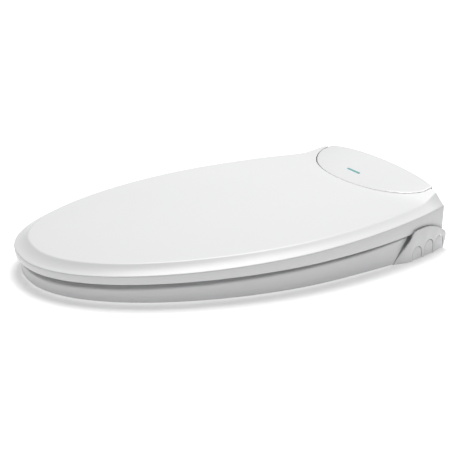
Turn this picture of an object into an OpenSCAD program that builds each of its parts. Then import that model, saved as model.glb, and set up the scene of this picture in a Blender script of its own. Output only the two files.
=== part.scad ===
// Electric bidet seat: low housing, heated seat ring and soft-closing lid.
// +Z is up, -Y points to the tip of the seat and +X is the seated user's left.
// The origin lies midway between the two mounting slots, on the underside.

/* [Overall size] */
// Width of the closed lid at its widest
lid_w = 384; // [380:1:388]
// Distance from the mounting slots forward to the tip of the lid
nose_y = 480; // [476:1:484]
// Distance from the mounting slots forward to the widest line
wide_y = 170; // [166:1:174]
// How far each side of the lid draws in by its back edge
rear_taper = 38; // [36:0.5:40]
// Distance between the two mounting slots
bolt_spacing = 140; // [138:1:142]

/* [Mouldings] */
// Wall thickness of the lid, seat and housing
wall = 3; // [2.6:0.1:3.2]
// Width of the sloping band round the lid's top
bevel_w = 18; // [17:0.5:19]
// Rise of the lid's top from its sides to its middle
lid_crown = 3.5; // [2.5:0.5:4]
// Gap between the lid and the fixed top panel
panel_gap = 1.5; // [1.4:0.1:2]
// Height of the low deck each side of the tower
deck_z = 22; // [21:0.5:22]

/* [Hinge] */
// Distance of the hinge line behind the mounting slots
hinge_y = 50; // [49.5:0.1:50.5]
// Height of the hinge line
hinge_z = 65; // [64.5:0.1:65.5]
// Radius of the hinge pins
pin_r = 3; // [2.5:0.1:3.2]

/* [Nozzles] */
// Radius of each wash nozzle
nozzle_r = 6; // [5:0.25:6]
// Length of each wash nozzle
nozzle_len = 90; // [84:1:90]
// Slope of the nozzles in degrees
nozzle_tilt = 30; // [28:1:31]

/* [Hidden] */
$fn = 48;

white = [0.93, 0.93, 0.93];
rear_y = 50;             // back edge of the lid
nose_pow = 1.78;         // fullness of the outline towards the tip
side_pow = 2.23;         // fullness of the outline towards the sides
run = 0.25;              // small clearance between neighbouring pieces
fit_gap = 0.05;          // radial clearance of a running fit

function mix(a, b, t) = a + (b - a)*t;
function ease(a, b, v) = let (t = min(1, max(0, (v - a)/(b - a)))) t*t*(3 - 2*t);
function smooth_max(a, b, r) = let (h = max(r - abs(a - b), 0)/r) max(a, b) + h*h*r/4;
function along(y) = (y + nose_y)/(nose_y + rear_y);

// Half width of the lid outline at y, drawn in by d
function half_w(y, d = 0) = y < -wide_y
  ? (lid_w/2 - d)*pow(max(0, 1 - pow((-wide_y - y)/(nose_y - wide_y - d), nose_pow)), 1/side_pow)
  : lid_w/2 - d - rear_taper*pow((y + wide_y)/(rear_y + wide_y), 2);

// Point of the outline: u runs from the tip (0) back to y_end (1)
function rim(u, d, y_end) = u < 0.6
  ? let (a = 90*u/0.6)
    [(lid_w/2 - d)*pow(sin(a), 2/side_pow), -wide_y - (nose_y - wide_y - d)*pow(cos(a), 2/nose_pow)]
  : let (y = mix(-wide_y, y_end, (u - 0.6)/0.4)) [half_w(y, d), y];

// Heights of the lid: hem, crease, flat top, and the ramp that meets the panel
dome_y = 5;
dome_top = 41.9;
function dome_z(y) = y > dome_y ? dome_top - 17*pow((y - dome_y)/49, 2)
                                : dome_top - 3.8*pow((dome_y - y)/30.7, 2);
function hem_z(y) = let (z = mix(25, 38.4, along(y))) y < dome_y ? z : min(z, dome_z(y) - 3.5);
function crease_z(y) = let (s = along(y)) 34.3 + 25.8*s + 5.9*s*(s - 1);
function front_fade(y) = y < -wide_y
  ? max(0, 1 - pow((-wide_y - y)/(nose_y - wide_y - bevel_w), 2)) : 1;
function plateau_z(x, y) = mix(43.3, 64.6, along(y))
  + lid_crown*max(0, 1 - pow(x/(half_w(y, bevel_w) + 1), 2))*front_fade(y);
function ramp_z(x, y) = 66 + 0.294*(y + 13) - 0.0006*x*x;
function lid_z(x, y) = smooth_max(plateau_z(x, y), ramp_z(x, y), 2);

// A sheet between two grids of points, closed round its edges. Edges that lie
// on the centre plane are left open, because the mirrored half closes them.
module sheet(top, under, wrap = false)
{
  rows = len(top);
  cols = len(top[0]);
  last = wrap ? rows - 1 : rows - 2;
  pts = concat([for (r = top) each r], [for (r = under) each r]);
  function t(i, j) = (i % rows)*cols + j;
  function b(i, j) = rows*cols + t(i, j);
  function centred(i, j) = abs(top[i % rows][j][0]) < 0.0001;
  faces = concat(
    [for (i = [0:last], j = [0:cols - 2]) each
      [[t(i, j), t(i + 1, j), t(i + 1, j + 1)], [t(i, j), t(i + 1, j + 1), t(i, j + 1)],
       [b(i, j), b(i + 1, j + 1), b(i + 1, j)], [b(i, j), b(i, j + 1), b(i + 1, j + 1)]]],
    [for (i = [0:last]) each
      [[t(i, 0), b(i, 0), b(i + 1, 0)], [t(i, 0), b(i + 1, 0), t(i + 1, 0)]]],
    [for (i = [0:last], e = cols - 1) if (!(centred(i, e) && centred(i + 1, e))) each
      [[t(i, e), b(i + 1, e), b(i, e)], [t(i, e), t(i + 1, e), b(i + 1, e)]]],
    wrap ? [] : [for (j = [0:cols - 2]) each
      [[t(0, j), t(0, j + 1), b(0, j + 1)], [t(0, j), b(0, j + 1), b(0, j)],
       [t(rows - 1, j), b(rows - 1, j + 1), t(rows - 1, j + 1)],
       [t(rows - 1, j), b(rows - 1, j), b(rows - 1, j + 1)]]]);
  polyhedron(pts, faces, convexity = 10);
}

// Stations from the back left, round the tip, to the back right: [side, u]
lid_n = 60;
half_stations = [for (k = [0:lid_n]) k/lid_n];
stations = concat([for (k = [lid_n:-1:1]) [-1, k/lid_n]], [for (u = half_stations) [1, u]]);
function sided(s, p) = [s*p[0], p[1], p[2]];

// A 2D side view in Y and Z, extruded w wide across X and centred at x
module across(w, x = 0)
{
  translate([x, 0, 0]) rotate([90, 0, 90]) translate([0, 0, -w/2]) linear_extrude(w) children();
}

module mirrored()
{
  children();
  mirror([1, 0, 0]) children();
}

// ---- Lid ----

cut_a = 129;                       // half axes of the lid's cut-out round the panel
cut_b = 73 + panel_gap;
cut_y = 60;
arm_x = 124;                       // inner face of each lid arm
cut_start = 0.8;                   // u where the cut-out begins

cut_turn = asin(arm_x/cut_a);       // where the curved cut meets the arms
function cut_pt(f) = f < 0.85
  ? let (a = cut_turn*f/0.85) [cut_a*sin(a), cut_y - cut_b*cos(a)]
  : [arm_x, mix(cut_y - cut_b*cos(cut_turn), rear_y + 1, (f - 0.85)/0.15)];
function spine(u) = u <= cut_start
  ? [0, mix(-nose_y + 100, cut_y - cut_b, u/cut_start)]
  : cut_pt((u - cut_start)/(1 - cut_start));

function at_z(p, z) = [p[0], p[1], z];
function on_lid(p, drop = 0) = at_z(p, lid_z(p[0], p[1]) - drop);
function lid_row(u) = let (e = rim(u, bevel_w, rear_y), s = spine(u), h = rim(u, 0.8, rear_y))
  concat([at_z(h, hem_z(h[1])), at_z(rim(u, 0, rear_y), crease_z(h[1]))],
         [for (f = [0, 0.25, 0.5, 0.75, 1]) on_lid(mix(e, s, f))]);
function lid_under_row(u) = let (e = rim(u, bevel_w + 1, rear_y), s = spine(u), h = rim(u, 0.8, rear_y))
  concat([at_z(rim(u, 0.8 + wall*0.8, rear_y), hem_z(h[1])),
          at_z(rim(u, wall*1.1, rear_y), crease_z(h[1]) - wall*1.1)],
         [for (f = [0, 0.25, 0.5, 0.75, 1]) on_lid(mix(e, s, f), wall)]);

module lid_shell()
{
  color(white)
  sheet([for (s = stations) [for (p = lid_row(s[1])) sided(s[0], p)]],
        [for (s = stations) [for (p = lid_under_row(s[1])) sided(s[0], p)]]);
}

// Rubber pads that carry the lid on the seat
module lid_bumpers()
{
  color("gray")
  mirrored() for (p = [[58, -418], [150, -150]])
    translate([p[0], p[1], seat_wall_z(p[1]) + 9.8])
      cylinder(r = 6, h = lid_z(p[0], p[1]) - wall - seat_wall_z(p[1]) - 10.4);
}

lug_x = 133.7;
lug_w = 4;
knuckle_r = 5.6;
lug_r = 4.3;

// Arc points about the hinge line, from angle a to angle b, in the side view
function arc(cy, cz, r, a, b, n = 16) = [for (i = [0:n]) let (t = mix(a, b, i/n)) [cy + r*cos(t), cz + r*sin(t)]];

module hinge_bore(w, x)
{
  translate([x - w/2 - 1, hinge_y, hinge_z]) rotate([0, 90, 0]) cylinder(r = pin_r + fit_gap, h = w + 2);
}

// Lugs under the lid's arms that turn on the hinge pins
module lid_hinge_lugs()
{
  function under_lid(y) = lid_z(lug_x + lug_w/2, y) - wall - 0.5;
  color("gainsboro")
  mirrored() difference()
  {
    across(lug_w, lug_x)
      polygon(concat(arc(hinge_y, hinge_z, lug_r, -90, 90),
                     [for (y = [36, 22, 7, -8]) [y, under_lid(y)]], [[-8, 50], [22, 52]]));
    hinge_bore(lug_w, lug_x);
  }
}

// ---- Seat ring ----

slant = 0.842;                     // the seat's back face leans by this much in Y per Z
function back_y(z) = -48.3 + slant*z;
function seat_in(y) = mix(7, 4.5, ease(-110, -44, y));
// Top of the ring's outer wall; it stands further below the hem towards the tip
function seat_drop(y) = mix(5.8, 3.3, (y + 473)/363)*(1 - ease(-115, -48, y));
function seat_wall_z(y) = mix(22, 33, (y + 473)/425) - seat_drop(y);
// Underside of the seat, raised at the back centre over the nozzles
function seat_low_z(x, y) = 2.5 + 13.5*(1 - ease(24, 50, abs(x)))*ease(-76, -60, y);

hole_w = 107;
hole_l = 150;
hole_y = -245;
side_v = 0.8;
function seat_outer(v, d, z) = v <= side_v
  ? let (p = rim(v/side_v, 0, back_y(z) - d), q = rim(v/side_v, d + seat_in(p[1]), back_y(z) - d)) q
  : let (c = rim(1, d + seat_in(-45), back_y(z) - d)) [c[0]*(1 - (v - side_v)/(1 - side_v)), c[1]];
function seat_hole(v, d) = [(hole_w + d)*pow(sin(180*v), 0.92), hole_y - (hole_l + d)*cos(180*v)];

seat_n = 40;
seat_v = [for (k = [0:seat_n]) k/seat_n];
// Closed loop round the ring: right half from tip to back, then left half
seat_loop = concat([for (v = seat_v) [1, v]], [for (k = [seat_n - 1:-1:1]) [-1, k/seat_n]]);

function seat_row(v) =
  let (rough = seat_outer(v, 0, 2.5), zb = seat_low_z(rough[0], rough[1]), o = seat_outer(v, 0, zb),
       zw = seat_wall_z(min(-30, rough[1])), t = seat_outer(v, 0, zw), e = seat_outer(v, 6, zw),
       h = seat_hole(v, 0), h2 = seat_hole(v, 3))
  [at_z(o, zb), at_z(t, zw), at_z(e, zw + 2.5), at_z(mix(e, h2, 0.35), zw + 8),
   at_z(mix(e, h2, 0.75), zw + 4), at_z(h2, zw - 3), at_z(h, 5)];
function seat_under_row(v) =
  let (rough = seat_outer(v, 0, 2.5), zb = seat_low_z(rough[0], rough[1]), o = seat_outer(v, wall, zb),
       zw = seat_wall_z(min(-30, rough[1])), t = seat_outer(v, wall, zw - 2), e = seat_outer(v, 8, zw),
       h = seat_hole(v, wall), h2 = seat_hole(v, 3 + wall))
  [at_z(o, zb), at_z(t, zw - 2), at_z(e, zw + 2.5 - wall), at_z(mix(e, h2, 0.35), zw + 8 - wall),
   at_z(mix(e, h2, 0.75), zw + 4 - wall), at_z(h2, zw - 3 - wall), at_z(h, 5)];
function lower(row, a, b, dz) = [for (j = [a:b]) at_z(row[j], row[j][2] - dz)];
function ring(rows) = [for (k = [0:len(seat_loop) - 1]) [for (p = rows[k]) sided(seat_loop[k][0], p)]];

module seat_top_shell()
{
  color(white)
  sheet(ring([for (s = seat_loop) seat_row(s[1])]), ring([for (s = seat_loop) seat_under_row(s[1])]), true);
}

// Closing plate under the ring
module seat_bottom_shell()
{
  function plate_row(v, lift) =
    let (rough = seat_outer(v, 0, 2.5), zb = seat_low_z(rough[0], rough[1]))
    [at_z(seat_outer(v, wall + 0.4, zb + lift), zb + lift), at_z(seat_hole(v, wall + 2), 5 + lift)];
  color("whitesmoke")
  sheet(ring([for (s = seat_loop) plate_row(s[1], 2.5)]), ring([for (s = seat_loop) plate_row(s[1], 0)]), true);
}

// Foil heater that warms the ring from inside
module seat_heater()
{
  color("silver")
  sheet(ring([for (s = seat_loop) lower(seat_under_row(s[1]), 2, 4, 0.4)]),
        ring([for (s = seat_loop) lower(seat_under_row(s[1]), 2, 4, 0.8)]), true);
}

module seat_bumpers()
{
  color("gray")
  mirrored() for (p = [[62, -428], [138, -300], [140, -110]])
    translate([p[0], p[1], 0]) cylinder(r = 8, h = 2.4);
}

arm_mid = 128;
arm_w = 6;
// Arms that carry the ring on the hinge pins, bolted to its back face
module seat_hinge_arms()
{
  root_lo = 23.6;
  root_hi = 32;
  color("gainsboro")
  mirrored() union()
  {
    difference()
    {
      across(arm_w, arm_mid)
        polygon(concat(arc(hinge_y, hinge_z, knuckle_r, -70, 125),
                       [[back_y(root_hi) + 0.4, root_hi], [back_y(root_lo) + 0.4, root_lo]]));
      hinge_bore(arm_w, arm_mid);
    }
    across(22, arm_mid + 8)
      polygon([[back_y(root_lo) + 0.4, root_lo], [back_y(root_hi) + 0.4, root_hi],
               [back_y(root_hi) + 3.6, root_hi], [back_y(root_lo) + 3.6, root_lo]]);
  }
}

// ---- Housing ----

front_lean = 0.857;
function face_y(z) = -44 + front_lean*(z - 1);
deck_in = 10;                      // the deck stands this far inside the lid outline
deck_pts = [for (y = [-46:8:54]) y];
module deck_plan(d = 0)
{
  polygon(concat([for (y = deck_pts) [half_w(y, deck_in + d), y]], [[half_w(57, deck_in + d), 57 - d]],
                 [[-half_w(57, deck_in + d), 57 - d]],
                 [for (i = [len(deck_pts) - 1:-1:0]) [-half_w(deck_pts[i], deck_in + d), deck_pts[i]]]));
}

panel_x = 122.5;
function panel_front(x, d = 0) = cut_y - (73 - d)*sqrt(1 - pow(x/(127.5 - d), 2));
function panel_rear(x, d = 0) = 52 + (6.5 - d)*sqrt(max(0, 1 - pow(abs(x)/(panel_x + 4 - d), 6)));
panel_n = 24;
function panel_xs(d) = [for (k = [0:panel_n]) -(panel_x - d)*cos(180*k/panel_n)];
module panel_plan(d = 0)
{
  xs = panel_xs(d);
  polygon(concat([for (x = xs) [x, panel_front(x, d)]],
                 [for (k = [panel_n:-1:0]) [xs[k], panel_rear(xs[k], d)]]));
}
function tower_z(y) = 49 + 0.294*(y + 13);

module tower(d, top_drop)
{
  intersection()
  {
    linear_extrude(90) panel_plan(d);
    across(300) polygon([[-30, 12], [70, 12], [70, tower_z(70) - top_drop], [-30, tower_z(-30) - top_drop]]);
  }
}

// Low body between two heights with its slanted front face, drawn in by d
module low_body(z0, z1, d = 0)
{
  intersection()
  {
    linear_extrude(60) deck_plan(d);
    across(400) polygon([[face_y(z0) + d*1.3, z0], [60, z0], [60, z1], [face_y(z1) + d*1.3, z1]]);
  }
}

tray_top = 11.6;
module base_tray()
{
  color("whitesmoke")
  difference()
  {
    low_body(0.8, tray_top);
    low_body(-1, tray_top - wall, wall);
    translate([-97, 40, -1]) cube([194, 30, tray_top - wall + 1]);
    translate([-19, -60, -1]) cube([38, 60, 20]);
    // holes for the tray screws
    for (s = screw_spots) translate([s[0], s[1], -1]) cylinder(r = 1.9, h = 30);
  }
}

screw_spots = [[-128, -24], [128, -24], [-132, 44], [132, 44], [-40, -24], [40, -24]];
module base_screws()
{
  color("silver")
  for (s = screw_spots) translate([s[0], s[1], tray_top - wall - 2])
  {
    difference()
    {
      cylinder(r = 3.4, h = 1.9);
      for (a = [0, 90]) rotate([0, 0, a]) translate([-2.2, -0.4, -1]) cube([4.4, 0.8, 1.8]);
    }
    cylinder(r = 1.6, h = 8);
  }
}

module base_feet()
{
  color("gray")
  mirrored() for (p = [[134, 0], [112, -22], [112, 40]])
    translate([p[0], p[1], 0]) cylinder(r = 5, h = tray_top - wall - 0.1);
}

duct_x0 = 42;
duct_x1 = 66;
inlet_x = -102;
inlet_z = 26;
gland_x = 105;
light_x = -50;
module housing_cover()
{
  color(white)
  difference()
  {
    union()
    {
      low_body(tray_top + 0.1, deck_z);
      tower(0.2, 0.3);
      intersection()
      {
        linear_extrude(60) panel_plan_wide();
        across(400) polygon([[face_y(12), 12], [60, 12], [60, 34.5], [face_y(34.5), 34.5]]);
      }
    }
    low_body(8, deck_z - wall, wall);
    tower(0.2 + wall, -6);
    intersection()
    {
      linear_extrude(60) panel_plan_wide(wall);
      across(400) polygon([[face_y(8) + 4, 8], [50, 8], [50, 31.5], [face_y(31.5) + 4, 31.5]]);
    }
    // nozzle mouth, dryer outlet and night-light window
    translate([-17, -60, 0]) cube([34, 42, 22]);
    translate([duct_x0, -60, 12.6]) cube([duct_x1 - duct_x0, 52, 8.4]);
    translate([light_x - 8, -60, 13]) cube([16, 40, 6]);
    // water inlet and mains cable through the back
    translate([inlet_x, 40, inlet_z]) rotate([-90, 0, 0]) cylinder(r = 12, h = 30);
    translate([gland_x, 40, inlet_z]) rotate([-90, 0, 0]) cylinder(r = 7, h = 30);
    // hinge pins through the tower's sides
    for (x = [-1, 1]) translate([x*120 - 10, hinge_y, hinge_z]) rotate([0, 90, 0])
      cylinder(r = pin_r + 0.1, h = 20);
    // the filter drawer's slot
    translate([-190, -16, 12.2]) cube([70, 26, 6.6]);
  }
}
module panel_plan_wide(d = 0)
{
  w = 120 - d;
  polygon([[-w, 40], [-w, -50], [w, -50], [w, 40]]);
}

// Cap over the tower; its crowned top rises to the back
panel_cols = 8;
function panel_row(x, d, drop) =
  let (f = panel_front(x, d), r = panel_rear(x, d), z0 = tower_z(f), z1 = tower_z(r))
  concat([[x, f, z0]],
         [for (j = [0:panel_cols]) let (y = mix(f, r, j/panel_cols)) [x, y, ramp_z(x, y) - drop]],
         [[x, r, z1]]);
module top_panel()
{
  color([0.9, 0.91, 0.92])
  sheet([for (x = panel_xs(0)) panel_row(x, 0, 0)], [for (x = panel_xs(wall)) panel_row(x, wall, wall)]);
}

// Small lens over the status light
module status_window()
{
  xs = [for (k = [-4:4]) k*4.5];
  function row(x, lift) = [for (y = [9, 12, 15]) [x, y, ramp_z(x, y) + lift]];
  color([0.3, 0.7, 0.7])
  sheet([for (x = xs) row(x, 0.5)], [for (x = xs) row(x, 0.05)]);
}

// ---- Side covers ----

cover_t = 2.2;
function cover_x(y) = half_w(y) + mix(-4.5, 2.6, ease(-46, -18, y));
function cover_slope(y) = atan((cover_x(y + 1) - cover_x(y - 1))/2);
arch_w = 20;
arch_y = [-6, 18.5, 41];
arch_top = [19, 22.4, 22];

module cover_blank()
{
  ys = [for (y = [-48:3:60]) y];
  intersection()
  {
    linear_extrude(60)
      polygon(concat([for (y = ys) [cover_x(y), y]],
                     [for (i = [len(ys) - 1:-1:0]) [cover_x(ys[i]) - cover_t, ys[i]]]));
    across(500)
      polygon(concat([[-45.7, 0.6], [-18.5, 33], [-16.5, 36.5]],
                     [for (y = [-13:4:51]) [y, dome_z(y)]], [[54.5, 24], [57, 20]],
                     arc(41, 16, 15.4, 0, -90, 8)));
  }
  for (y = [-30, 53.4]) translate([half_w(y, deck_in) + 0.1, y, 4]) cube([cover_x(y) - half_w(y, deck_in) - 1.4, 3, 14]);
}

// Round-topped slot or tongue, w wide, standing on z = 0 in the local XZ plane
module arch(w, top, t)
{
  rotate([90, 0, 90]) translate([0, 0, -t/2]) linear_extrude(t)
    polygon(concat([[w/2, 0]], arc(0, top - w/2, w/2, 0, 180, 20), [[-w/2, 0]]));
}
module at_arch(i, x_in = 0)
{
  translate([cover_x(arch_y[i]) - x_in, arch_y[i], 0]) rotate([0, 0, -cover_slope(arch_y[i])]) children();
}

module control_side_cover()
{
  color(white)
  difference()
  {
    cover_blank();
    for (i = [0:2]) at_arch(i, 1) translate([0, 0, -1]) arch(arch_w, arch_top[i] + 1, 12);
  }
}
module plain_side_cover()
{
  color(white)
  difference()
  {
    mirror([1, 0, 0]) cover_blank();
    translate([-190, -16, 12.2]) cube([40, 26, 6.6]);
    translate([-190, 38, 10]) rotate([0, 90, 0]) cylinder(r = 4.4, h = 50);
  }
}

button_t = 2.2;
button_w = arch_w - 1.2;
button_pivot = 1.8;                // height of the line that each button turns about
module side_button(i)
{
  color("whitesmoke")
  at_arch(i, button_t/2 + 0.1)
  {
    translate([0, 0, button_pivot]) arch(button_w, arch_top[i] - button_pivot - 0.6, button_t);
    translate([0, button_w/2, button_pivot]) rotate([90, 0, 0]) cylinder(r = button_t/2, h = button_w);
    translate([-button_t/2 - 2, 0, 12]) rotate([0, 90, 0]) cylinder(r = 2, h = 2.5);
  }
}
module stop_button() { side_button(0); }
module rear_wash_button() { side_button(1); }
module front_wash_button() { side_button(2); }

// Switch board behind the three side buttons
module button_board()
{
  y = 18;
  color("darkgreen")
  translate([half_w(y) - 7.2, y, 0]) rotate([0, 0, -cover_slope(y)])
  {
    translate([-0.8, -34, 5]) cube([1.6, 66, 14]);
    for (i = [0:2]) translate([0.7, arch_y[i] - y, 12]) rotate([0, 90, 0]) cylinder(r = 3, h = 1.6);
  }
}

// ---- Water path ----

module inlet_fitting()
{
  thread_r = 10.4;
  color("silver")
  translate([inlet_x, 44, inlet_z]) rotate([-90, 0, 0]) difference()
  {
    union()
    {
      cylinder(r = thread_r, h = 13.5);
      cylinder(r = 11.6, h = 2);
      translate([0, 0, -0.1]) cylinder(r = 8, h = 1);
    }
    translate([0, 0, -1]) cylinder(r = 4, h = 4);
    translate([0, 0, 3]) cylinder(r = 7, h = 20);
  }
}
module inlet_strainer()
{
  color("dimgray")
  translate([inlet_x, 47.2, inlet_z]) rotate([-90, 0, 0]) difference()
  {
    cylinder(r = 6.8, h = 7);
    for (a = [0:60:300]) rotate([0, 0, a]) translate([3.8, 0, -1]) cylinder(r = 1.4, h = 20);
    translate([0, 0, 1.5]) cylinder(r = 1.8, h = 20);
  }
}
module inlet_valve()
{
  color("darkslategray")
  {
    translate([-110, 28.4, 14]) cube([19, 15.4, 22]);
    translate([-100.5, 36, 35.9]) cylinder(r = 6.5, h = 10);
  }
}
module supply_hose()
{
  color("lightgray") translate([-90.9, 36, 22]) rotate([0, 90, 0]) difference()
  {
    cylinder(r = 3.5, h = 4.8);
    translate([0, 0, -1]) cylinder(r = 2, h = 8);
  }
}
module water_heater()
{
  color("whitesmoke")
  {
    translate([-86, 14, 13]) cube([46, 36, 34]);
    for (x = [-76, -50]) translate([x, 32, 46.9]) cylinder(r = 3, h = 5);
  }
}
module wash_hose()
{
  color("lightgray") translate([-39.9, 35, 36]) rotate([0, 90, 0]) difference()
  {
    cylinder(r = 3.5, h = 6.8);
    translate([0, 0, -1]) cylinder(r = 2, h = 9);
  }
}
module flow_divider()
{
  color("gainsboro")
  {
    translate([-33, 26, 28]) cube([12, 18, 18]);
    translate([-27, 35, 45.9]) cylinder(r = 8, h = 9);
  }
}

// ---- Nozzles ----

nozzle_x = 9;
// Local frame of the nozzles: +Y runs back and up along their slope
module sloped() { translate([0, -40, 4]) rotate([nozzle_tilt, 0, 0]) children(); }
nozzle_start = 12;
module nozzle(x)
{
  color("whitesmoke")
  sloped() translate([x, nozzle_start, 0]) rotate([-90, 0, 0]) difference()
  {
    cylinder(r = nozzle_r, h = nozzle_len);
    translate([0, 0, 4]) cylinder(r = 2.2, h = nozzle_len);
    // spray holes on the upper side of the tip
    for (k = [0:2]) translate([0, 0, 6 + 3*k]) rotate([90, 0, 0]) cylinder(r = 0.7, h = 20);
  }
}
module rear_nozzle() { nozzle(-nozzle_x); }
module front_nozzle() { nozzle(nozzle_x); }
module nozzle_guide()
{
  color("gainsboro")
  sloped() difference()
  {
    translate([-18, 34, -8.6]) cube([36, 36, 17.2]);
    for (x = [-nozzle_x, nozzle_x]) translate([x, 20, 0]) rotate([-90, 0, 0])
      cylinder(r = nozzle_r + 0.3, h = 60);
  }
}
module nozzle_guard()
{
  color("whitesmoke")
  across(40)
    polygon([[face_y(18) - 0.15, 18], [face_y(24) - 0.15, 24], [face_y(24) - 1.5, 24.4], [face_y(18) - 1.5, 18.4]]);
}
module nozzle_motors()
{
  color("silver")
  sloped() for (s = [-1, 1]) translate([s*18.3, 56, 0]) rotate([0, s*90, 0])
  {
    cylinder(r = 8, h = 9);
    translate([0, 0, 9]) cylinder(r = 3, h = 1.5);
  }
}

// ---- Warm-air dryer ----

fan_c = [63, 25];
fan_r = 23;
fan_z = 13;
module dryer_housing()
{
  color("dimgray")
  translate([fan_c[0], fan_c[1], fan_z]) difference()
  {
    cylinder(r = fan_r, h = 21);
    translate([0, 0, 1.6]) cylinder(r = fan_r - 1.6, h = 17.8);
    translate([0, 0, -1]) cylinder(r = 12, h = 4);
    translate([0, 0, 10]) cylinder(r = 3, h = 20);
    translate([-18, -40, 1.6]) cube([18, 25, 6]);
  }
}
module dryer_impeller()
{
  color("black")
  translate([fan_c[0], fan_c[1], fan_z + 2.6])
  {
    difference()
    {
      union()
      {
        cylinder(r = 5, h = 15.6);
        translate([0, 0, 13.8]) cylinder(r = 18, h = 1.8);
      }
      translate([0, 0, 8]) cylinder(r = 1.6, h = 12);
    }
    for (k = [0:15]) rotate([0, 0, 22.5*k]) translate([12, -0.6, 0]) cube([6, 1.2, 14]);
  }
}
module dryer_motor()
{
  color("silver")
  translate([fan_c[0], fan_c[1], fan_z + 21.1])
  {
    cylinder(r = 11, h = 11);
    translate([0, 0, -8]) cylinder(r = 1.5, h = 9);
  }
}
module dryer_duct()
{
  color("dimgray")
  difference()
  {
    translate([duct_x0 + 2, -23.5, 12.2]) cube([20, 27, 8]);
    translate([duct_x0 + 3.4, -24.5, 13.6]) cube([17.2, 30, 5.2]);
    translate([fan_c[0], fan_c[1], fan_z - 2]) cylinder(r = fan_r + 0.1, h = 30);
  }
}
module dryer_grille()
{
  color("lightgray")
  intersection()
  {
    across(duct_x1 - duct_x0 - 0.6, (duct_x0 + duct_x1)/2)
      polygon([[face_y(12.8) + 0.2, 12.8], [face_y(20.8) + 0.2, 20.8], [face_y(20.8) + 2.2, 20.8], [face_y(12.8) + 2.2, 12.8]]);
    difference()
    {
      translate([duct_x0, -60, 10]) cube([30, 60, 20]);
      for (k = [0:4]) translate([duct_x0 + 3 + 4*k, -70, 14]) cube([2.4, 90, 5.6]);
    }
  }
}

// ---- Deodorizer ----

deo_c = [-98, -2];
module deodorizer_housing()
{
  color("dimgray")
  translate([deo_c[0], deo_c[1], 12]) difference()
  {
    translate([-17, -15, 0]) cube([33, 30, 6.8]);
    translate([0, 0, 1]) cylinder(r = 13, h = 20);
    translate([-20, -10, 1.6]) cube([14, 20, 4.2]);
  }
}
module deodorizer_impeller()
{
  color("black")
  translate([deo_c[0], deo_c[1], 13.5])
  {
    cylinder(r = 5, h = 4.8);
    for (k = [0:8]) rotate([0, 0, 40*k]) translate([4.5, -0.5, 0]) cube([7, 1, 4.8]);
  }
}
module filter_cartridge()
{
  y = -3;
  color("gray")
  difference()
  {
    translate([-cover_x(y) + 0.6, -15.6, 12.6]) cube([cover_x(y) - 0.6 - 118, 25.2, 5.8]);
    for (k = [0:4]) translate([-158 + 8*k, -12, 10]) cube([4, 18, 20]);
  }
}

// ---- Electronics and lights ----

module main_board()
{
  color("darkgreen")
  {
    translate([32, 14, 49]) cube([54, 38, 1.6]);
    for (p = [[38, 20], [52, 22], [66, 20], [44, 38], [64, 38]]) translate([p[0], p[1], 50.5]) cube([9, 9, 7]);
  }
}
module board_cover()
{
  color("whitesmoke")
  difference()
  {
    translate([30.5, 12.5, 50.8]) cube([57, 41, 9]);
    translate([32, 14, 50]) cube([54, 38, 8.6]);
  }
}
module night_light()
{
  color("white")
  across(15.4, light_x)
    polygon([[face_y(13.3) + 0.3, 13.3], [face_y(18.7) + 0.3, 18.7], [face_y(18.7) + 2.6, 18.7], [face_y(13.3) + 2.6, 13.3]]);
}
module cord_gland()
{
  color("gray")
  translate([gland_x, 50, inlet_z]) rotate([-90, 0, 0]) difference()
  {
    union()
    {
      cylinder(r = 6.8, h = 8);
      cylinder(r = 8.5, h = 3);
    }
    translate([0, 0, -1]) cylinder(r = 3.5, h = 12);
  }
}

// ---- Hinge hardware ----

module hinge_pins()
{
  color("silver")
  mirrored() translate([104.2, hinge_y, hinge_z]) rotate([0, 90, 0]) cylinder(r = pin_r, h = 32);
}
module hinge_dampers()
{
  color("dimgray")
  mirrored() translate([84, hinge_y - 0.6, hinge_z]) rotate([0, 90, 0]) cylinder(r = 4.6, h = 20);
}

// ---- Mounting ----

slot_r = 4.6;
slot_len = 24;
module slot(r, h)
{
  union()
  {
    for (s = [-1, 1]) translate([s*(slot_len/2 - slot_r), 0, 0]) cylinder(r = r, h = h);
    translate([-(slot_len/2 - slot_r), -r, 0]) cube([slot_len - 2*slot_r, 2*r, h]);
  }
}
module mounting_bracket()
{
  color("gainsboro")
  difference()
  {
    translate([-94, -20, 0]) cube([188, 55, 6]);
    for (x = [-1, 1]) translate([x*bolt_spacing/2, 0, 0])
    {
      translate([0, 0, -1]) slot(slot_r, 10);
      translate([0, 0, 2.5]) slot(slot_r + 4, 10);
    }
    // notch that the release button's catch drops into
    translate([-95, 24, 2]) cube([5, 8, 5]);
  }
}
module bracket_pad()
{
  color("dimgray")
  difference()
  {
    translate([-92, -18, 6.1]) cube([184, 51, 0.8]);
    for (x = [-1, 1]) translate([x*bolt_spacing/2 - 17, -12, 5]) cube([34, 24, 4]);
  }
}
module release_button()
{
  color("gray")
  translate([-half_w(38) - 2.8, 38, 10]) rotate([0, 90, 0]) cylinder(r = 4, h = 8);
}

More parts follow.
